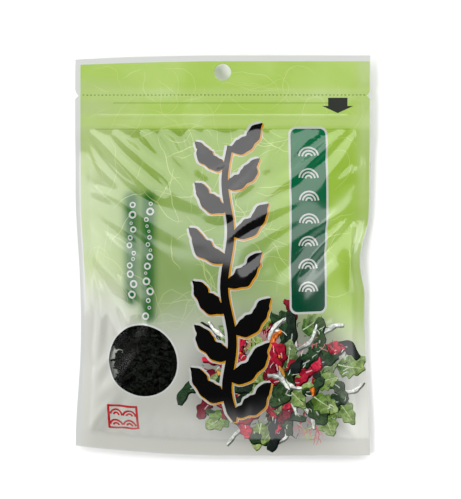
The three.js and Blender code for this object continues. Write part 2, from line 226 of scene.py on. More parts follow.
# A sheet of film, kept as a grid of points that any place on the flat film can be read from
class Sheet:
    def __init__(self, height):
        columns = round(2 * HALF_WIDTH / CELL)
        rows = round(2 * HALF_LENGTH / CELL)
        self.u = np.linspace(-HALF_WIDTH, HALF_WIDTH, columns + 1)
        self.v = np.linspace(-HALF_LENGTH, HALF_LENGTH, rows + 1)
        self.grid_u, self.grid_v = np.meshgrid(self.u, self.v)
        x, y = plan(self.grid_u, self.grid_v)
        self.points = np.stack([x, y, height(self.grid_u, self.grid_v)], axis=-1)
        self.normals = grid_normals(self.points)

    def read(self, field, u, v):
        s = clamp01((u - self.u[0]) / (self.u[-1] - self.u[0])) * (len(self.u) - 1)
        t = clamp01((v - self.v[0]) / (self.v[-1] - self.v[0])) * (len(self.v) - 1)
        i = np.minimum(s.astype(int), len(self.u) - 2)
        j = np.minimum(t.astype(int), len(self.v) - 2)
        s, t = (s - i)[..., None], (t - j)[..., None]
        low = field[j, i] * (1 - s) + field[j, i + 1] * s
        high = field[j + 1, i] * (1 - s) + field[j + 1, i + 1] * s
        return low * (1 - t) + high * t


def placed(name, data):
    """A new object in the scene."""
    obj = bpy.data.objects.new(name, data)
    bpy.context.scene.collection.objects.link(obj)
    return obj


# The slack front film, as cloth that starts flat and keeps its lengths while its seals draw in
RELAX = {
    "scale": 10,
    "close_frames": 16,
    "frames": 36,
    "spare_length": 0.03,
    "spare_width": 0.008,
    "waviness": 0.5,
    "guide": 0.45,
    "cap": 3.5,
}
CLOTH = {
    "quality": 8,
    "mass": 0.2,
    "tension_stiffness": 60.0,
    "compression_stiffness": 60.0,
    "shear_stiffness": 30.0,
    "bending_stiffness": 40.0,
    "air_damping": 4.0,
    "pin_stiffness": 0.4,
    "use_pressure": True,
    "uniform_pressure_force": 2.0,
}
WAVES = {"count": 14, "length": (16, 40)}


def waves(u, v):
    """Broad crossing waves, of about unit height."""
    draw = random.Random(4)
    total = np.zeros_like(u)
    for _ in range(WAVES["count"]):
        heading = draw.uniform(0, math.pi)
        turns = (u * math.cos(heading) + v * math.sin(heading)) / draw.uniform(*WAVES["length"])
        total += np.sin(2 * np.pi * (turns + draw.uniform(0, 1)))
    return total / math.sqrt(WAVES["count"] / 2)


def slack_cloth(sheet, scale):
    """The film's flat cut as cloth, with a shape key that draws it in to the filled pouch."""
    u = sheet.grid_u * (1 + RELAX["spare_width"])
    slack = np.maximum(0, 1 - (sheet.grid_u / INNER_SIDE) ** 2)
    v = sheet.points[..., 1] * (1 + RELAX["spare_length"] * slack)
    flat = np.stack([u, v, SEAM_LIFT + RELAX["waviness"] * waves(u, v)], axis=-1)
    mesh = bpy.data.meshes.new("slack_film")
    cells = grid_cells(len(sheet.v) - 1, len(sheet.u) - 1)
    mesh.from_pydata((flat.reshape(-1, 3) * scale).tolist(), [], cells.tolist())
    cloth = placed("slack_film", mesh)
    cloth.shape_key_add(name="flat")
    filled = cloth.shape_key_add(name="filled")
    filled.data.foreach_set("co", (sheet.points * scale).ravel())
    for step, value in ((1, 0.0), (RELAX["close_frames"], 1.0)):
        filled.value = value
        filled.keyframe_insert("value", frame=step)
    seals = (np.abs(sheet.grid_u) >= INNER_SIDE) | (sheet.grid_v <= INNER_BOTTOM)
    seals |= sheet.grid_v >= BELLY_TOP
    held = cloth.vertex_groups.new(name="held")
    held.add(np.flatnonzero(seals.ravel()).tolist(), 1.0, "REPLACE")
    held.add(np.flatnonzero(~seals.ravel()).tolist(), RELAX["guide"], "REPLACE")
    film = cloth.modifiers.new("film", "CLOTH")
    for setting, value in CLOTH.items():
        setattr(film.settings, setting, value)
    film.settings.vertex_group_mass = held.name
    film.settings.effector_weights.gravity = 0
    film.collision_settings.use_collision = False
    film.point_cache.frame_end = RELAX["frames"]
    return cloth


def relax(sheet):
    """Lets the slack film settle, with its seals held and the rest guided to the sheet's shape."""
    scale = RELAX["scale"] * MM
    cloth = slack_cloth(sheet, scale)
    for step in range(1, RELAX["frames"] + 1):
        bpy.context.scene.frame_set(step)
    shape = cloth.evaluated_get(bpy.context.evaluated_depsgraph_get()).data
    settled = np.zeros(len(shape.vertices) * 3)
    shape.vertices.foreach_get("co", settled)
    move = settled.reshape(sheet.points.shape) / scale - sheet.points
    far = np.linalg.norm(move, axis=-1, keepdims=True)
    sheet.points += move * np.minimum(1, RELAX["cap"] / np.maximum(far, 1e-6))
    sheet.normals = grid_normals(sheet.points)
    mesh = cloth.data
    bpy.data.objects.remove(cloth)
    bpy.data.meshes.remove(mesh)
    bpy.context.scene.frame_set(1)


def cling(sheet, cover):
    """Draws a stretch of the back film up to a little below the front film."""
    near = hump((sheet.grid_u - CLING["u"]) / CLING["half_width"])
    near = near * hump((sheet.grid_v - CLING["v"]) / CLING["half_length"])
    room = cover.points[..., 2] - CLING["room"] - sheet.points[..., 2]
    sheet.points[..., 2] += CLING["share"] * near * np.maximum(0, room)
    sheet.normals = grid_normals(sheet.points)


front = Sheet(front_height)
back = Sheet(back_height)
relax(front)
cling(back, front)


# Outlines of the print, as arrays of (u, v)
def pairs(u, v):
    return np.stack(np.broadcast_arrays(u, v), axis=1)


def unit(angle):
    return np.array([math.cos(angle), math.sin(angle)])


def arc(u, v, radius, angle):
    return pairs(u + radius * np.cos(angle), v + radius * np.sin(angle))


def circle(u, v, radius, count=40):
    return arc(u, v, radius, np.linspace(0, 2 * np.pi, count, endpoint=False))


def rounded_box(u, v, half_width, half_height, corner, turn=0.0):
    outline = []
    for k, (su, sv) in enumerate([(1, 1), (-1, 1), (-1, -1), (1, -1)]):
        for step in np.linspace(0, math.pi / 2, 7):
            angle = k * math.pi / 2 + step
            outline.append((
                su * (half_width - corner) + corner * math.cos(angle),
                sv * (half_height - corner) + corner * math.sin(angle),
            ))
    flat = np.array(outline)
    c, s = math.cos(turn), math.sin(turn)
    return pairs(u + c * flat[:, 0] - s * flat[:, 1], v + s * flat[:, 0] + c * flat[:, 1])


def bordered(u, v, half_width, half_height, rim, corners, inks, turn=0.0):
    """A rim, then the rounded panel inside it, each with its corner and its ink."""
    for inset, corner, ink in zip((0, rim), corners, inks):
        yield rounded_box(u, v, half_width - inset, half_height - inset, corner, turn), ink


def curve(points, count):
    """A smooth path through a few points."""
    p = np.array(points, float)
    p = np.vstack([2 * p[0] - p[1], p, 2 * p[-1] - p[-2]])
    spans = len(p) - 3
    t = np.linspace(0, spans - 1e-9, count)
    k = t.astype(int)
    f = (t - k)[:, None]
    a, b, c, d = p[k], p[k + 1], p[k + 2], p[k + 3]
    return 0.5 * (2 * b + (c - a) * f + (2 * a - 5 * b + 4 * c - d) * f**2 + (3 * b - a - 3 * c + d) * f**3)


def stroke(path, widths):
    """Outline of a brush stroke: a path with a full width at each of its points."""
    tangent = normalized(np.gradient(path, axis=0))
    offset = pairs(-tangent[:, 1], tangent[:, 0]) * np.asarray(widths)[:, None] / 2
    return np.vstack([path + offset, (path - offset)[::-1]])


# Inks
def linear(red, green, blue):
    """A colour on screen, 0 to 255, as light."""
    shares = [c / 255 for c in (red, green, blue)]
    return tuple(((c + 0.055) / 1.055) ** 2.4 if c > 0.04 else c / 12.92 for c in shares)


WHITE_INK = linear(192, 194, 190)
BLACK_INK = linear(6, 6, 6)
GOLD_INK = linear(194, 140, 36)
SEAL_RED = linear(178, 26, 32)
PLAQUE_DARK = linear(0, 66, 42)
PLAQUE_LIGHT = linear(0, 104, 62)
CLEAR_EDGE = linear(214, 216, 213)
GREEN_HEADER = linear(180, 208, 114)
GREEN_TOP = linear(143, 172, 82)
GREEN_MIDDLE = linear(142, 165, 117)
GREEN_RIGHT = linear(160, 193, 78)
# pale green, for the paler left of the print and for painted sheen along the right edge
GREEN_PALE_AND_SHEEN = linear(190, 206, 158)
# pale ground by the zip: painted sheen
ZIP_SHEEN = linear(191, 213, 145)
PALE_LOW = linear(193, 195, 186)
# near-white towards the side seals in the low part: painted sheen
SIDE_SHEEN = linear(238, 239, 231)
SEAL_PALE = linear(209, 209, 202)
RING_GREY = linear(203, 206, 202)
GLOW_GREEN = linear(14, 94, 32)
FIBRE = linear(216, 226, 174)
TEAR_LINE = linear(40, 60, 25)
ZIP_LINE = linear(112, 148, 52)
ARROW_GREY = linear(52, 54, 50)


# The fourth number of an ink says how it is printed
FLAT_INK, PAPER, PICTURE = 0.0, 0.5, 1.0


def plain(color, kind=FLAT_INK):
    return lambda u, v: np.tile((*color, kind), (len(u), 1))


def between(first, last, share):
    return np.array(first) * (1 - share) + np.array(last) * share


def fading(first, last, start, end, kind=FLAT_INK):
    """Ink that changes from one colour to another along a line."""
    line = np.subtract(end, start)

    def shade(u, v):
        t = smooth(((u - start[0]) * line[0] + (v - start[1]) * line[1]) / line.dot(line))[:, None]
        return np.hstack([between(first, last, t), np.full((len(u), 1), kind)])

    return shade


def near_line(u, v, column, low, high):
    """Distance to an upright line of the flat film."""
    return np.hypot(u - column, v - np.clip(v, low, high))


# Two upright glows: the column, its low end and its high end
GLOWS = [(-42.6, -19.5, 26.5), (-34.6, -27.0, 26.5)]
GLOW_RADIUS = 3.9
# Two pale bands of the ground by the zip, one over its tape and one just above it: painted sheen
ZIP_SHEEN_BANDS = [(60.5, 67.5), (72.5, 80.5)]
BAND_EDGE = 1.5
# Where the ground's colours change, as spans of u or of v
GROUND = {
    "right": (6, 46),
    "down": (50, -12),
    "header": (BELLY_TOP, BELLY_TOP + 2),
    "left": (-28, -66),
    "left_top": (89, 77),
    "right_edge_sheen": (61, 67),
    # where the low ground turns to painted sheen towards the side seals
    "left_sheen": (-60, -65),
    "right_sheen": (48, 64),
    "seal": (INNER_BOTTOM, INNER_BOTTOM - 1),
}


def pale_share(u, v):
    """How far the ground has faded to pale, below a waved edge that falls to the right."""
    fade = 40
    edge = -4 + 4 * np.sin(u / 17) - 0.17 * np.maximum(0, u + 10) + 9 * over(u, (-30, -55))
    return smooth((edge - v) / fade)


def ground(u, v):
    """The paper-like green ground, which fades to pale at the bottom, with painted sheen by the zip, along
    the side seals and along the right edge.
    """
    left = over(u, GROUND["left"]) * over(v, GROUND["left_top"])
    # paler towards both side seals in the low part: painted sheen
    sides = 0.9 * over(u, GROUND["right_sheen"]) + 0.4 * over(u, GROUND["left_sheen"])
    pale = pale_share(u, v)
    low = between(PALE_LOW, SIDE_SHEEN, sides[:, None])
    layers = [
        (GREEN_MIDDLE, over(v, GROUND["down"])),
        (GREEN_RIGHT, over(u, GROUND["right"])),
        (GREEN_HEADER, over(v, GROUND["header"])),
        (GREEN_PALE_AND_SHEEN, 0.9 * left),
        # paler along the right edge: painted sheen
        (GREEN_PALE_AND_SHEEN, 0.5 * over(u, GROUND["right_edge_sheen"])),
    ]
    # pale bands by the zip: painted sheen
    for bottom, top in ZIP_SHEEN_BANDS:
        zip_sheen = over(v, (bottom, bottom + BAND_EDGE)) * over(v, (top, top - BAND_EDGE))
        layers.append((ZIP_SHEEN, 0.7 * zip_sheen))
    layers.append((low, pale))
    layers.append((SEAL_PALE, 0.7 * over(v, GROUND["seal"])))
    for column, bottom, top in GLOWS:
        near = np.exp(-((near_line(u, v, column, bottom, top) / GLOW_RADIUS) ** 3))
        layers.append((GLOW_GREEN, 0.95 * near))
    color = GREEN_TOP
    for ink, share in layers:
        color = between(color, ink, share[:, None])
    return np.hstack([color, PAPER * (1 - pale[:, None])])


# The front print, from the ground up; each entry is an outline and its ink
PRINTED = {"u": 1.1, "v": -1.2, "half_width": 68.6, "half_height": 93.4, "corner": 0.4}


def film_outline():
    """The film's edge, with its two tear notches."""
    rows, columns = 120, 90
    v = np.linspace(-HALF_LENGTH, HALF_LENGTH, rows)
    cut = np.maximum(0, 1 - np.abs(v - NOTCH["v"]) / NOTCH["half_width"]) * NOTCH["depth"]
    u = np.linspace(-HALF_WIDTH, HALF_WIDTH, columns)[1:-1]
    right = pairs(HALF_WIDTH - cut, v)
    left = pairs(-HALF_WIDTH + cut, v)[::-1]
    return np.vstack([right, pairs(u[::-1], HALF_LENGTH), left, pairs(u, -HALF_LENGTH)])


def printed_area():
    return rounded_box(**PRINTED)


# Fibres in the paper-like ground: thin pale threads
FIBRES = {
    "count": 210,
    "u": (-66, 68),
    "v": (-92, 91),
    "reach": (67.5, 92.5),
    "length": (8, 38),
    "width": (0.2, 0.45),
    "bend": 0.03,
    "change": 0.003,
    "jog": 0.2,
    "strength": 0.48,
}


def fibre_ink(u, v):
    """A pale tint of the ground, which fades where the ground itself is pale."""
    color = ground(u, v)
    share = FIBRES["strength"] * color[:, 3:] / PAPER
    color[:, :3] = between(color[:, :3], FIBRE, share)
    return color


def paper_fibres():
    """Fibres laid at random; one that would leave the printed area is left out."""
    draw = random.Random(17)
    count = 16
    for _ in range(FIBRES["count"]):
        spot = np.array([draw.uniform(*FIBRES["u"]), draw.uniform(*FIBRES["v"])])
        heading = draw.uniform(0, 2 * math.pi)
        bend, change = draw.gauss(0, FIBRES["bend"]), draw.gauss(0, FIBRES["change"])
        step = draw.uniform(*FIBRES["length"]) / count
        path = [spot]
        for _ in range(count):
            path.append(path[-1] + step * unit(heading))
            heading += bend * step + draw.gauss(0, FIBRES["jog"])
            bend += change * step
        path = np.array(path)
        if np.all(np.abs(path - (PRINTED["u"], PRINTED["v"])) < FIBRES["reach"]):
            taper = np.sin(np.linspace(0.1, 0.9, len(path)) * np.pi)
            yield stroke(path, draw.uniform(*FIBRES["width"]) * taper), fibre_ink


def tear_line():
    start, end = -66.5, 68.5
    dash, gap, weight, corner = 0.9, 0.9, 0.3, 0.1
    for u in np.arange(start, end, dash + gap):
        yield rounded_box(u + dash / 2, NOTCH["v"], dash / 2, weight / 2, corner), plain(TEAR_LINE)


def zip_lines():
    """Where the edges of the zip's tape show through the film."""
    weight, corner = 0.24, 0.1
    for v, half_length in ((ZIP_TOP + 0.4, 52), (ZIP_BOTTOM, ZIP_HALF_LENGTH)):
        yield rounded_box(0, v, half_length, weight / 2, corner), plain(ZIP_LINE)


def zip_arrow():
    stem, head = 4.6, 7.4
    middle, top, shoulder, tip = 54.6, 74.9, 71.0, 67.6
    left = np.array([(-stem, top), (-stem, shoulder), (-head, shoulder), (0, tip)])
    right = left[-2::-1] * (-1, 1)
    yield np.vstack([left, right]) + (middle, 0), plain(ARROW_GREY)


def scallop(u, v, radius, weight, shares=(1.0, 0.66, 0.32)):
    """Nested arcs, as in the traditional wave pattern."""
    start = 0.08
    angle = np.linspace(start, math.pi - start, 15)
    for share in shares:
        yield stroke(arc(u, v, radius * share, angle), np.full(len(angle), weight))


def plaque():
    u, v, half_width, half_height, rim, corners = 40.4, 17.2, 9.3, 44.0, 1.0, (3.6, 2.8)
    rows, pitch, drop, radius, weight = 7, 10.6, 2.2, 4.5, 0.8
    white = plain(WHITE_INK)
    green = fading(PLAQUE_LIGHT, PLAQUE_DARK, (u, v + half_height), (u, v - half_height))
    yield from bordered(u, v, half_width, half_height, rim, corners, (white, green))
    for k in range(rows):
        for outline in scallop(u, v + pitch * ((rows - 1) / 2 - k) - drop, radius, weight):
            yield outline, white


def bubbles():
    """Small white bubbles that rise through the two green glows."""
    draw = random.Random(5)
    sizes, gaps, stray, hollow = (0.7, 1.9), (0.7, 1.4), 1.2, 0.55
    for column, low, high in GLOWS:
        v = high
        while v > low:
            size = draw.uniform(*sizes)
            u = column + draw.uniform(-stray, stray)
            v -= size + draw.uniform(*gaps)
            yield circle(u, v, size, 24), plain(WHITE_INK)
            yield circle(u, v, size * hollow, 20), plain(GLOW_GREEN)
            v -= size


def seal_stamp():
    u, v, half_width, half_height, rim, corners, turn = -47.0, -77.4, 7.4, 6.4, 1.15, (0.5, 0.3), 0.04
    radius, weight, shares = 2.9, 1.0, (1.0, 0.45)
    red = plain(SEAL_RED)
    yield from bordered(u, v, half_width, half_height, rim, corners, (red, ground), turn)
    for across in (-3.15, 3.15):
        for up in (0.7, -4.6):
            for outline in scallop(u + across, v + up, radius, weight, shares):
                yield outline, red


# The brushed frond: a stem with waved blades to both sides, in black with a gold and a white edge
STEM = [(5.5, -77), (2.0, -60), (4.5, -38), (0.8, -14), (3.8, 10), (1.0, 34), (3.4, 52)]
FROND = {"blades": 13, "stem": 4.8, "length": 19.0, "width": 9.0, "white_edge": 2.4, "gold_edge": 0.7}
BLADE_ACROSS = (0.0, 0.36, 0.66, 0.82, 1.0)
BLADE_UP = (0.0, 0.12, 0.36, 0.66, 0.84)


def frond_strokes():
    """Paths with a width at each of their points: the stem, then its blades from the lowest up."""
    draw = random.Random(3)
    stem = curve(STEM, 90)
    along = np.linspace(0, 1, len(stem))
    yield stem, FROND["stem"] * (1 - 0.45 * along) * np.minimum(1, 14 * along + 0.3)
    for k in range(FROND["blades"]):
        share = 0.05 + 0.93 * k / (FROND["blades"] - 1)
        root = stem[int(share * (len(stem) - 1))]
        side = -1 if k % 2 else 1
        length = FROND["length"] * (1 - 0.2 * share) * draw.uniform(0.92, 1.08)
        points = [root + length * np.array([side * a, b]) for a, b in zip(BLADE_ACROSS, BLADE_UP)]
        path = curve(points, 36)
        t = np.linspace(0, 1, len(path))
        wave = 1 + 0.13 * np.sin(t * draw.uniform(12, 16) + draw.uniform(0, 6))
        wave += 0.06 * np.sin(t * draw.uniform(28, 36) + draw.uniform(0, 6))
        width = FROND["width"] * (1 - 0.2 * share) * np.sin(np.pi * t**0.72) ** 0.8
        yield path, np.maximum(0.3, width * wave)


def frond():
    strokes = list(frond_strokes())
    shift = 0.5  # of the gold edge, down to the right
    layers = [(FROND["white_edge"], 0, WHITE_INK), (FROND["gold_edge"], shift, GOLD_INK), (0, 0, BLACK_INK)]
    for edge, aside, ink in layers:
        for path, width in strokes:
            yield stroke(path + (aside, -aside), width + edge), plain(ink)


# The pictured sea salad: kelp ribbons, leaves, red ribbons, pale ribbons and sprigs in a rosette
KELP = [linear(18, 34, 22), linear(30, 56, 30), linear(14, 24, 20), linear(44, 68, 34)]
LEAF = [linear(104, 150, 44), linear(76, 130, 48), linear(142, 176, 66), linear(52, 106, 44)]
CRIMSON = [linear(150, 14, 40), linear(178, 28, 56), linear(104, 10, 30)]
AGAR = [linear(214, 216, 208), linear(196, 202, 192)]
AMBER = [linear(206, 108, 34), linear(186, 132, 58)]
SALAD = {"u": 26, "v": -57, "wide": 42, "tall": 34}
SALAD_RINGS = [(1.0, 26), (0.84, 26), (0.68, 24), (0.5, 20), (0.32, 14), (0.12, 7)]


def wander(draw, root, heading, length, bend, count):
    """A path that sets out from a root and bends as it goes."""
    steps = 4
    points = [np.array(root)]
    angle = heading
    for _ in range(steps):
        points.append(points[-1] + length / steps * unit(angle))
        angle += bend / 2 + draw.uniform(-0.35, 0.35)
    return curve(points, count)


def ruffled_ribbon(draw, root, heading, length, width, colors):
    """A waved ribbon with a dark edge, a lighter face, a pale rib and a glint."""
    color = draw.choice(colors)
    path = wander(draw, root, heading, length, draw.uniform(-1.1, 1.1), 22)
    t = np.linspace(0, 1, len(path))
    ruffle = 1 + 0.22 * np.sin(t * draw.uniform(14, 22) + draw.uniform(0, 6))
    widths = width * np.sin(np.pi * (0.12 + 0.8 * t)) ** 0.7 * ruffle
    dark = between(color, (0.0, 0.0, 0.0), 0.7)
    light = tuple(0.012 + 1.9 * c for c in color)
    yield stroke(path + np.array([0.3, -0.45]), widths + 0.7), plain(dark, PICTURE)
    yield stroke(path, widths), fading(color, light, path[0], path[-1], PICTURE)
    rib = slice(3, 18, 2)
    shift = np.array([-0.16, 0.16]) * width
    yield stroke(path[rib] + shift, 0.1 + 0.14 * widths[rib]), plain(light, PICTURE)
    glint = slice(6, 12)
    shine = between(color, (1.0, 1.0, 1.0), 0.4)
    yield stroke(path[glint] - shift * 0.9, 0.08 + 0.08 * widths[glint]), plain(shine)


def lobed_leaf(draw, root, heading, length, width, colors):
    """A leaf with a waved edge, a midrib and side veins."""
    color = draw.choice(colors)
    axis = unit(heading)
    across = np.array([-axis[1], axis[0]])
    t = np.linspace(0, 1, 28)
    half = width / 2 * np.sin(np.pi * t**0.8) ** 0.75
    lobes, phase = draw.uniform(20, 28), draw.uniform(0, 6)
    left = half * (1 + 0.16 * np.sin(lobes * t + phase))
    right = half * (1 + 0.16 * np.sin(lobes * t + phase + 2))
    lean = draw.uniform(-0.2, 0.2) * length
    spine = np.array(root) + length * t[:, None] * axis + lean * (t**2)[:, None] * across
    outline = np.vstack([spine + left[:, None] * across, (spine - right[:, None] * across)[::-1]])
    dark = between(color, (0.0, 0.02, 0.0), 0.6)
    light = between(color, (0.8, 0.9, 0.45), 0.35)
    yield outline + np.array([0.3, -0.45]), plain(dark, PICTURE)
    yield outline, fading(between(color, dark, 0.35), light, spine[0], spine[-1], PICTURE)
    yield stroke(spine[1:-3], np.linspace(0.55, 0.14, len(spine) - 4)), plain(between(light, (1, 1, 1), 0.3))
    for k in range(5, 23, 4):
        for side, reach in ((1, left[k]), (-1, right[k])):
            tip = spine[k] + side * across * reach * 0.75 + axis * length * 0.07
            path = curve([spine[k], (spine[k] + tip) / 2 + axis * 0.2, tip], 4)
            yield stroke(path, np.linspace(0.3, 0.1, 4)), plain(light, PICTURE)


def sprig(draw, root, heading, size, color, depth=2):
    """A branching sprig of thin strokes."""
    path = wander(draw, root, heading, size * draw.uniform(0.8, 1.1), draw.uniform(-0.5, 0.5), 6)
    weight = np.maximum(0.3, 0.12 * size * np.linspace(1, 0.55, len(path)))
    yield stroke(path, weight), plain(between(color, (1, 0.8, 0.8), 0.12 * (2 - depth)))
    if depth:
        for at, turn in ((2, 0.8), (3, -0.75), (5, 0.45), (5, -0.4)):
            branch = heading + turn * draw.uniform(0.7, 1.3)
            yield from sprig(draw, path[at], branch, size * 0.62, color, depth - 1)


# How each kind of piece is drawn: its function, its lengths, its widths and its colours
SALAD_PIECES = {
    "kelp": (ruffled_ribbon, (13, 22), (3.6, 6.5), KELP),
    "leaf": (lobed_leaf, (11, 17), (6, 10), LEAF),
    "red": (ruffled_ribbon, (9, 15), (3.5, 6.5), CRIMSON),
    "pale": (ruffled_ribbon, (12, 18), (1.4, 2.2), AGAR),
    "amber": (ruffled_ribbon, (8, 13), (1.6, 2.4), AMBER),
}
SALAD_KINDS = ["kelp", "leaf", "kelp", "red", "sprig", "kelp", "pale", "leaf", "red", "amber", "red"]


def salad_piece(draw, kind, root, heading):
    if kind == "sprig":
        return sprig(draw, root, heading, draw.uniform(6, 9), draw.choice(CRIMSON[:2] + LEAF[1:3]))
    make, lengths, widths, colors = SALAD_PIECES[kind]
    return make(draw, root, heading, draw.uniform(*lengths), draw.uniform(*widths), colors)


def salad_shade(u, v):
    """The ground, softly darkened under the salad."""
    color = ground(u, v)
    away = np.hypot((u - SALAD["u"]) / SALAD["wide"], (v - SALAD["v"]) / SALAD["tall"])
    color[:, :3] *= 1 - 0.5 * smooth((1.2 - away) / 0.5)[:, None]
    return color


def salad_glints(draw, middle, size):
    """Small wet glints and dark gaps among the pieces."""
    count, spread = 190, 0.85
    for _ in range(count):
        away, angle = spread * math.sqrt(draw.uniform(0, 1)), draw.uniform(0, 2 * math.pi)
        root = middle + size * away * unit(angle)
        heading = angle + draw.uniform(-0.9, 0.9)
        path = wander(draw, root, heading, draw.uniform(1.2, 4), draw.uniform(-1, 1), 5)
        color = draw.choice([linear(8, 14, 10), linear(16, 24, 14), linear(206, 216, 200)])
        yield stroke(path, draw.uniform(0.2, 0.55) * np.array([0.5, 1, 0.9, 0.7, 0.3])), plain(color)


def sea_salad():
    """Rings of pieces that point outwards, each laid over the ring outside it."""
    draw = random.Random(21)
    middle = np.array([SALAD["u"], SALAD["v"]])
    size = np.array([SALAD["wide"], SALAD["tall"]])
    yield middle + circle(0, 0, 1.2) * size, salad_shade
    for share, count in SALAD_RINGS:
        offset = draw.uniform(0, 1)
        for k in range(count):
            angle = 2 * math.pi * (k + offset + draw.uniform(-0.3, 0.3)) / count
            reach = share * draw.uniform(0.84, 1.04) - 0.26
            root = middle + size * reach * unit(angle)
            yield from salad_piece(draw, draw.choice(SALAD_KINDS), root, angle + draw.uniform(-0.8, 0.8))
    yield from salad_glints(draw, middle, size)


def front_print():
    yield film_outline(), plain(CLEAR_EDGE)
    yield printed_area(), ground
    yield from paper_fibres()
    yield from sea_salad()
    yield from tear_line()
    yield from zip_lines()
    yield from zip_arrow()
    yield from plaque()
    yield from bubbles()
    yield from seal_stamp()
    yield from frond()
    ring = circle(WINDOW["u"], WINDOW["v"], WINDOW["radius"] + WINDOW["rim"], 96)
    yield ring, plain(RING_GREY)


def back_print():
    yield film_outline(), plain(CLEAR_EDGE)
    yield printed_area(), ground
    v, half_width, half_height, rim, corners = -14, 54, 58, 0.8, (3, 2.4)
    inks = (plain(PLAQUE_LIGHT), plain(WHITE_INK))
    yield from bordered(0, v, half_width, half_height, rim, corners, inks)
    yield from tear_line()


# Cutting a film along its print
def relief_rows():
    """Places along the zip where the film needs points for its rib."""
    u = np.linspace(-ZIP_HALF_LENGTH, ZIP_HALF_LENGTH, 82)
    ribs = [ZIP_MIDDLE + step * ZIP_RIB["half_width"] for step in (-1, -0.65, -0.32, 0, 0.32, 0.65, 1)]
    return [pairs(u, v) for v in ribs]


def zip_relief(u, v):
    """How far the zip's rib pushes the film out."""
    ends = smooth((ZIP_HALF_LENGTH - np.abs(u)) / 2)
    return ends * ZIP_RIB["height"] * hump((v - ZIP_MIDDLE) / ZIP_RIB["half_width"])


def fitted(outline):
    """The outline turned anticlockwise, with no edge longer than a cell of the film."""
    u, v = outline[:, 0], outline[:, 1]
    area = np.sum(u * np.roll(v, -1) - v * np.roll(u, -1))
    if area < 0:
        outline = outline[::-1]
    stretches = []
    for start, end in zip(outline, np.roll(outline, -1, axis=0)):
        steps = max(1, math.ceil(np.linalg.norm(end - start) / CELL))
        stretches.append(start + (end - start) * np.arange(steps)[:, None] / steps)
    return np.vstack(stretches)


def cut_film(shapes, cutouts, more=()):
    """Triangles of the flat film, each with the topmost shape it lies in; a cutout is numbered below zero."""
    outlines = [fitted(outline) for outline in [shape[0] for shape in shapes] + cutouts]
    spots = [pairs(front.grid_u.ravel(), front.grid_v.ravel()), *relief_rows(), *more]
    faces = []
    count = sum(len(s) for s in spots)
    for outline in outlines:
        faces.append(list(range(count, count + len(outline))))
        count += len(outline)
    flat = [Vector(p) for p in np.vstack(spots + outlines).tolist()]
    found, _, triangles, _, _, owners = delaunay_2d_cdt(flat, [], faces, 0, 1e-4, True)
    places = np.array([(p.x, p.y) for p in found])
    shown, owner = [], []
    for triangle, inside_of in zip(triangles, owners):
        if 0 not in inside_of:
            continue
        top = max(inside_of)
        shown.append(triangle)
        owner.append(top if top < len(shapes) else len(shapes) - 1 - top)
    return places, np.array(shown), np.array(owner)


def face_colors(places, triangles, owner, shapes):
    colors = np.zeros((len(triangles), 3, 4))
    for k, (_, ink) in enumerate(shapes):
        mine = owner == k
        corners = places[triangles[mine].ravel()]
        if len(corners):
            colors[mine] = ink(corners[:, 0], corners[:, 1]).reshape(-1, 3, 4)
    return colors


# Meshes
def new_object(name, points, faces):
    mesh = bpy.data.meshes.new(name)
    mesh.from_pydata((np.asarray(points) * MM).tolist(), [], faces)
    mesh.polygons.foreach_set("use_smooth", np.ones(len(mesh.polygons), bool))
    return placed(name, mesh)


def film_points(sheet, places, facing):
    """Points of a film's outer face and their normals, with the zip pushing the film out."""
    u, v = places[:, 0], places[:, 1]
    points = sheet.read(sheet.points, u, v)
    normals = normalized(sheet.read(sheet.normals, u, v) * facing)
    step = 0.05
    points[:, 2] += facing * zip_relief(u, v)
    slope = (zip_relief(u, v + step) - zip_relief(u, v - step)) / (2 * step)
    normals[:, 1] -= slope
    return points, normalized(normals)


def rim_edges(faces):
    """Edges that only one face has, in that face's direction."""
    directed = np.stack([faces, np.roll(faces, -1, axis=1)], axis=-1).reshape(-1, 2)
    _, first, uses = np.unique(np.sort(directed, axis=1), axis=0, return_index=True, return_counts=True)
    return directed[first[uses == 1]]


def trimmed(places, triangles):
    """Only the places that the triangles use, with the triangles renumbered to match."""
    used, renumbered = np.unique(triangles, return_inverse=True)
    return places[used], renumbered.reshape(-1, 3)


def closed_sheet(name, sheet, facing, outer, inner):
    """A closed film: an outer face, an inner face behind it and a rim. Its faces start with the outer ones.

    Each face is its places on the flat film and its triangles; both have the same places along the rim.
    """
    outer_places, outer_triangles = trimmed(*outer)
    inner_places, inner_triangles = trimmed(*inner)
    if facing < 0:
        outer_triangles, inner_triangles = outer_triangles[:, ::-1], inner_triangles[:, ::-1]
    points, normals = film_points(sheet, outer_places, facing)
    behind, behind_normals = film_points(sheet, inner_places, facing)
    behind -= behind_normals * SKIN
    count = len(points)
    nearest = KDTree(len(inner_places))
    for k, place in enumerate(inner_places.tolist()):
        nearest.insert((*place, 0), k)
    nearest.balance()
    walls = []
    for a, b in rim_edges(outer_triangles).tolist():
        under_a, under_b = [count + nearest.find((*outer_places[k], 0))[1] for k in (a, b)]
        walls.append((a, under_a, under_b, b))
    faces = outer_triangles.tolist() + (inner_triangles[:, ::-1] + count).tolist() + walls
    obj = new_object(name, np.vstack([points, behind]), faces)
    obj.data.normals_split_custom_set_from_vertices(np.vstack([normals, -behind_normals]).tolist())
    return obj


def paint(obj, colors, behind_color):
    """Writes the ink of each face's corners; faces past the printed ones get the inner layer's colour."""
    mesh = obj.data
    layer = mesh.color_attributes.new("ink", "FLOAT_COLOR", "CORNER")
    values = np.tile((*behind_color, FLAT_INK), (len(mesh.loops), 1))
    flat = colors.reshape(-1, 4)
    values[: len(flat)] = flat
    layer.data.foreach_set("color", values.ravel())


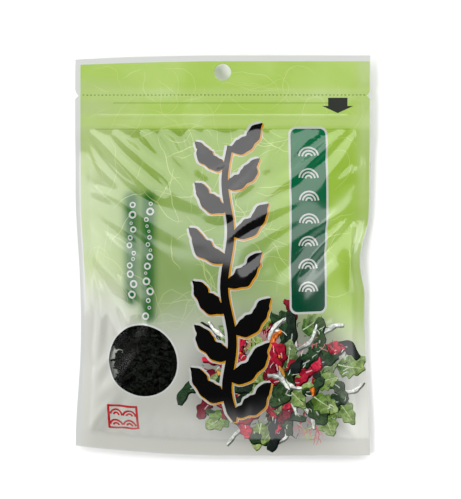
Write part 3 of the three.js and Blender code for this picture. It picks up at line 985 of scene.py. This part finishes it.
# Materials
def fill(tree, node, inputs):
    """Sets each input to its number or colour, or links an output to it."""
    for name, value in inputs.items():
        socket = node.inputs[name]
        if isinstance(value, (int, float)):
            socket.default_value = value
        elif isinstance(value, tuple):
            socket.default_value = (*value, 1.0)
        else:
            tree.links.new(value, socket)


def add(tree, kind, inputs=None, **settings):
    node = tree.nodes.new(kind)
    for key, value in settings.items():
        setattr(node, key, value)
    fill(tree, node, inputs or {})
    return node


def material(name):
    made = bpy.data.materials.new(name)
    made.use_nodes = True
    tree = made.node_tree
    return made, tree, tree.nodes["Principled BSDF"]


def object_place(tree):
    return add(tree, "ShaderNodeTexCoord").outputs["Object"]


def noise(tree, place, scale, detail=2.0, distortion=0.0):
    inputs = {"Vector": place, "Scale": scale, "Detail": detail, "Distortion": distortion}
    return add(tree, "ShaderNodeTexNoise", inputs).outputs["Fac"]


def ramp(tree, factor, low, high, start=0.0, end=1.0):
    """Eases from start to end as the factor goes from low to high."""
    inputs = {"Value": factor, "From Min": low, "From Max": high, "To Min": start, "To Max": end}
    return add(tree, "ShaderNodeMapRange", inputs, interpolation_type="SMOOTHSTEP").outputs["Result"]


# Places of a mix node's sockets when it mixes colours
MIX_FACTOR, MIX_FIRST, MIX_SECOND, MIX_RESULT = 0, 6, 7, 2


def blend(tree, factor, first, second, mode="MIX"):
    inputs = {MIX_FACTOR: factor, MIX_FIRST: first, MIX_SECOND: second}
    return add(tree, "ShaderNodeMix", inputs, data_type="RGBA", blend_type=mode).outputs[MIX_RESULT]


def printed_film(name, roughness=0.09):
    """Ink under a clear glossy layer; the paper-like ground is cloudy, and the pictured salad is mottled."""
    made, tree, shader = material(name)
    ink = add(tree, "ShaderNodeVertexColor", layer_name="ink")
    color, kind = ink.outputs["Color"], ink.outputs["Alpha"]
    place = object_place(tree)
    cloud = ramp(tree, noise(tree, place, 30, 3.0, 0.6), 0.35, 0.7)
    paper = blend(tree, cloud, blend(tree, 1.0, color, linear(238, 244, 208), "MULTIPLY"), color)
    mottle = ramp(tree, noise(tree, place, 420, 3.0, 0.8), 0.3, 0.72)
    picture = blend(tree, mottle, blend(tree, 1.0, color, (0.42, 0.42, 0.42), "MULTIPLY"), color)
    shown = blend(tree, ramp(tree, kind, 0.0, PAPER), color, paper)
    shown = blend(tree, ramp(tree, kind, 0.6, 0.9), shown, picture)
    smear = ramp(tree, noise(tree, place, 60, 2.0), 0.3, 0.8, roughness, roughness * 1.6)
    fill(tree, shader, {"Base Color": shown, "Roughness": smear, "IOR": 1.75})
    return made


def clear_film():
    made, tree, shader = material("clear_film")
    tree.nodes.remove(shader)
    see = add(tree, "ShaderNodeBsdfTransparent", {"Color": (0.97, 0.98, 0.97)}).outputs["BSDF"]
    gloss = add(tree, "ShaderNodeBsdfGlossy", {"Roughness": 0.17}).outputs["BSDF"]
    weight = add(tree, "ShaderNodeFresnel", {"IOR": 1.18}).outputs["Fac"]
    mix = add(tree, "ShaderNodeMixShader", {"Fac": weight, 1: see, 2: gloss})
    fill(tree, tree.nodes["Material Output"], {"Surface": mix.outputs["Shader"]})
    return made


def milky_plastic():
    made, tree, shader = material("milky_zip_plastic")
    streak = ramp(tree, noise(tree, object_place(tree), 90, 3.0), 0.3, 0.75)
    color = blend(tree, streak, linear(214, 220, 210), linear(236, 238, 232))
    fill(tree, shader, {"Base Color": color, "Roughness": 0.42, "Subsurface Weight": 0.2})
    return made


def dried_wakame():
    made, tree, shader = material("dried_wakame")
    place = object_place(tree)
    patch = ramp(tree, noise(tree, place, 160, 3.0), 0.35, 0.7)
    base = blend(tree, patch, linear(13, 17, 12), linear(31, 38, 27))
    salt = ramp(tree, noise(tree, place, 900, 2.0), 0.68, 0.78, 0.0, 0.2)
    grain = {"Height": noise(tree, place, 1100, 4.0), "Strength": 0.2, "Distance": 0.0004}
    fill(tree, shader, {
        "Base Color": blend(tree, salt, base, linear(112, 118, 102)),
        "Roughness": 0.55,
        "Specular IOR Level": 0.22,
        "Normal": add(tree, "ShaderNodeBump", grain).outputs["Normal"],
    })
    return made


PRINT = printed_film("printed_front_film")
BACK_PRINT = printed_film("printed_back_film", 0.14)
CLEAR = clear_film()
ZIP_PLASTIC = milky_plastic()
WAKAME = dried_wakame()
INNER_LAYER = linear(226, 228, 222)


# The films
def hole_outline():
    return circle(0, HOLE["v"], HOLE["radius"], 56)


def make_film(name, sheet, facing, shapes, cutouts):
    """A printed film with a plain inner face, and the cut that it was made from."""
    places, triangles, owner = cut_film(shapes, cutouts)
    printed = owner >= 0
    rim = places[rim_edges(triangles[printed]).ravel()]
    inner_places, inner_triangles, inner_owner = cut_film(shapes[:1], cutouts, [rim])
    inner = (inner_places, inner_triangles[inner_owner >= 0])
    film = closed_sheet(name, sheet, facing, (places, triangles[printed]), inner)
    corners = triangles[printed] if facing > 0 else triangles[printed][:, ::-1]
    paint(film, face_colors(places, corners, owner[printed], shapes), INNER_LAYER)
    return film, (places, triangles, owner)


def make_front():
    window = circle(WINDOW["u"], WINDOW["v"], WINDOW["radius"], 96)
    film, cut = make_film("front_film_print", front, 1, list(front_print()), [hole_outline(), window])
    film.data.materials.append(PRINT)
    places, triangles, owner = cut
    clear = (places, triangles[owner == -2])
    pane = closed_sheet("window_film", front, 1, clear, clear)
    pane.data.materials.append(CLEAR)
    return film, pane


def make_back():
    film, _ = make_film("back_film_print", back, -1, list(back_print()), [hole_outline()])
    film.data.materials.append(BACK_PRINT)
    return film


# The contents
HEAP = {"u": 2.5, "v": -33, "half_width": 55, "half_length": 49, "squareness": 3.2}
CORE = {"points": 57, "reach": 0.9, "below_film": 6.0, "thinnest": 0.4, "lump": 0.8, "lift": 0.3}
# Where flakes are strewn: how many, the middle, the reach each way and the depths below the front film
STREWN = [
    (660, WINDOW, 21, 21, (2.4, 6.5)),
    (560, HEAP, HEAP["half_width"], HEAP["half_length"], (2.4, 7.0)),
]
FLAKES = {
    "limit": 0.99,
    "ragged": 0.035,
    "rim_start": 0.82,
    "rim_fall": 22,
    "columns": 3,
    "rows": 6,
    "length": (3, 9),
    "width": (1.3, 3.4),
    "thickness": 0.25,
    "clear": 0.15,
}


def heap_share(u, v):
    """0 in the middle of the heap and 1 at its rim."""
    power = HEAP["squareness"]
    across = np.abs((u - HEAP["u"]) / HEAP["half_width"]) ** power
    along = np.abs((v - HEAP["v"]) / HEAP["half_length"]) ** power
    return (across + along) ** (1 / power)


def heights(sheet, u, v):
    return sheet.read(sheet.points, u, v)[..., 2]


def one_flake(draw):
    """A crinkled curled shard about the origin, as a grid of points."""
    rows, columns = FLAKES["rows"], FLAKES["columns"]
    length = draw.uniform(*FLAKES["length"])
    width = draw.uniform(*FLAKES["width"])
    curl = draw.uniform(-1.6, 1.6)
    roll = draw.uniform(0.4, 2.2)
    twist = draw.uniform(-1.2, 1.2)
    points = np.zeros((rows + 1, columns + 1, 3))
    spot = np.zeros(2)
    for j in range(rows + 1):
        t = j / rows
        angle = curl * (t - 0.5)
        half = width / 2 * (0.35 + 0.65 * math.sin(math.pi * (0.08 + 0.84 * t))) * draw.uniform(0.75, 1.2)
        for i in range(columns + 1):
            s = 2 * i / columns - 1
            around = s * roll / 2 + twist * (t - 0.5)
            radius = 2 * half / roll
            points[j, i] = (
                spot[0],
                radius * math.sin(around) + draw.uniform(-0.2, 0.2),
                spot[1] + radius * (1 - math.cos(around)) + draw.uniform(-0.3, 0.3),
            )
        spot = spot + length / rows * unit(angle)
    points -= points.reshape(-1, 3).mean(axis=0)
    return points


def turned(points, draw):
    """The flake with any heading, tipped and rolled at random."""
    heading, tip, lean = draw.uniform(0, 2 * math.pi), draw.gauss(0, 0.45), draw.gauss(0, 0.7)
    for first, second, angle in ((1, 2, lean), (0, 2, tip), (0, 1, heading)):
        c, s = math.cos(angle), math.sin(angle)
        a, b = points[..., first].copy(), points[..., second].copy()
        points[..., first] = c * a - s * b
        points[..., second] = s * a + c * b
    return points


def flake_spots(draw):
    """Places on the flat film and depths below it: many behind the window, the rest all over the heap."""
    spots = []
    for count, middle, across, along, depths in STREWN:
        for _ in range(count):
            u = middle["u"] + across * draw.uniform(-1, 1)
            v = middle["v"] + along * draw.uniform(-1, 1)
            spots.append((u, v, draw.uniform(*depths)))
    kept = []
    for u, v, depth in spots:
        share = heap_share(u, v)
        if share < FLAKES["limit"] + FLAKES["ragged"] * draw.uniform(-1, 1):
            kept.append((u, v, depth + FLAKES["rim_fall"] * max(0.0, share - FLAKES["rim_start"])))
    return kept


def kept_inside(points):
    """Lowers points, given over the flat film, until they are clear of the front film, then of the back."""
    u, v = points[:, 0], points[:, 1]
    low = heights(back, u, v) + SKIN + FLAKES["clear"]
    high = heights(front, u, v) - SKIN - FLAKES["clear"]
    lowered = points[:, 2] - max(0.0, np.max(points[:, 2] - high))
    return np.stack([*plan(u, v), np.clip(lowered, low, np.maximum(low, high))], axis=1)


def sheet_faces(rows, columns, first):
    """Faces of a closed sheet whose upper points come first, then its lower ones."""
    upper = first + grid_cells(rows, columns)
    layer = (rows + 1) * (columns + 1)
    a, b = rim_edges(upper).T
    walls = np.stack([a, a + layer, b + layer, b], axis=1)
    return np.vstack([upper, upper[:, [0, 3, 2, 1]] + layer, walls]).tolist()


def heap_core():
    """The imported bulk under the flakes, as an upper and a lower grid of points over the flat film."""
    side = np.linspace(-1, 1, CORE["points"])
    s, t = np.meshgrid(side, side)
    radius = np.maximum(np.abs(s), np.abs(t))
    angle = np.arctan2(t, s)
    power = HEAP["squareness"]
    rounded = (np.abs(np.cos(angle)) ** power + np.abs(np.sin(angle)) ** power) ** (-1 / power)
    reach = radius * rounded * CORE["reach"]
    u = HEAP["u"] + HEAP["half_width"] * reach * np.cos(angle)
    v = HEAP["v"] + HEAP["half_length"] * reach * np.sin(angle)
    floor = heights(back, u, v) + SKIN + CORE["lift"]
    room = heights(front, u, v) - SKIN - floor
    lumps = CORE["lump"] * np.sin(u / 1.9 + 2 * np.sin(v / 3.1)) * np.sin(v / 2.3 + np.sin(u / 2.7))
    rise = (room - CORE["below_film"]) * np.sqrt(1 - radius**4) + lumps
    top = floor + np.maximum(CORE["thinnest"], rise)
    return np.stack([u, v, top], axis=-1), np.stack([u, v, floor], axis=-1)


def make_wakame():
    draw = random.Random(8)
    grids = [heap_core()]
    for u, v, depth in flake_spots(draw):
        flake = turned(one_flake(draw), draw)
        flake[..., 0] += u
        flake[..., 1] += v
        flake[..., 2] += heights(front, u, v) - SKIN - depth
        grids.append((flake, flake - grid_normals(flake) * FLAKES["thickness"]))
    points, faces, count = [], [], 0
    for top, bottom in grids:
        rows, columns = top.shape[0] - 1, top.shape[1] - 1
        points += [kept_inside(grid.reshape(-1, 3)) for grid in (top, bottom)]
        faces += sheet_faces(rows, columns, count)
        count += 2 * (rows + 1) * (columns + 1)
    heap = new_object("wakame_flakes", np.vstack(points), faces)
    heap.data.materials.append(WAKAME)
    return heap


front_piece, window_piece = make_front()
back_piece = make_back()
wakame_piece = make_wakame()

for piece, slot in (
    (front_piece, "front_print"),
    (window_piece, "front_print"),
    (back_piece, "back_print"),
    (wakame_piece, "dried_wakame"),
):
    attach(piece, "root")
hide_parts("front_film")
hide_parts("back_film")
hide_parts("wakame_heap")

for name in ("zip_rib_strip", "zip_groove_strip"):
    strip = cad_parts[name]
    strip.data.materials.clear()
    strip.data.materials.append(ZIP_PLASTIC)


# Stage, light and camera
def make_floor():
    half, level = 3000, -0.3
    corners = [(-half, -half, level), (half, -half, level), (half, half, level), (-half, half, level)]
    floor = new_object("floor", corners, [(0, 1, 2, 3)])
    made, tree, shader = material("pale_floor")
    tone = ramp(tree, noise(tree, object_place(tree), 3.0), 0.2, 0.8)
    color = blend(tree, tone, (0.96, 0.96, 0.96), (0.98, 0.98, 0.98))
    fill(tree, shader, {"Base Color": color, "Roughness": 0.9, "Specular IOR Level": 0.1})
    floor.data.materials.append(made)
    return floor


def soft_box(name, place, size, watts):
    """A lamp that faces the pouch."""
    light = bpy.data.lights.new(name, "AREA")
    light.shape = "RECTANGLE"
    light.size, light.size_y = size
    light.energy = watts
    lamp = placed(name, light)
    lamp.location = place
    lamp.rotation_euler = (-Vector(place)).to_track_quat("-Z", "Y").to_euler()
    return lamp


def make_light(floor):
    """A surround that is dark overhead, soft boxes above and to both sides, and one for the floor alone."""
    world = bpy.data.worlds.new("studio")
    world.use_nodes = True
    tree = world.node_tree
    direction = add(tree, "ShaderNodeTexCoord").outputs["Generated"]
    height = add(tree, "ShaderNodeSeparateXYZ", {"Vector": direction}).outputs["Z"]
    surround = blend(tree, ramp(tree, height, 0.35, 0.80), (1.0, 1.0, 1.0), (0.02, 0.02, 0.02))
    fill(tree, tree.nodes["Background"], {"Color": surround, "Strength": 1.35})
    bpy.context.scene.world = world
    soft_box("key", (0.05, 0.63, 0.93), (1.8, 0.8), 9.3)
    soft_box("left_card", (-0.71, 0.17, 0.60), (0.46, 0.5), 1.4)
    soft_box("right_card", (0.62, 0.20, 0.62), (0.30, 0.26), 0.7)
    backdrop = soft_box("backdrop", (-0.52, -0.22, 0.85), (0.3, 0.3), 4.2)
    lit = bpy.data.collections.new("backdrop_reach")
    lit.objects.link(floor)
    backdrop.light_linking.receiver_collection = lit


def make_camera():
    middle_x, middle_y, distance = 0.0037, 0.0029, 0.8
    view_height = 0.2372  # of the photograph's frame, at the seals
    camera = bpy.data.cameras.new("camera")
    camera.sensor_fit = "VERTICAL"
    camera.sensor_height = 36
    camera.lens = camera.sensor_height * distance / view_height
    eye = placed("camera", camera)
    eye.location = (middle_x, middle_y, distance + SEAM_LIFT * MM)
    bpy.context.scene.camera = eye


make_light(make_floor())
make_camera()
bpy.context.scene.view_settings.view_transform = "Standard"
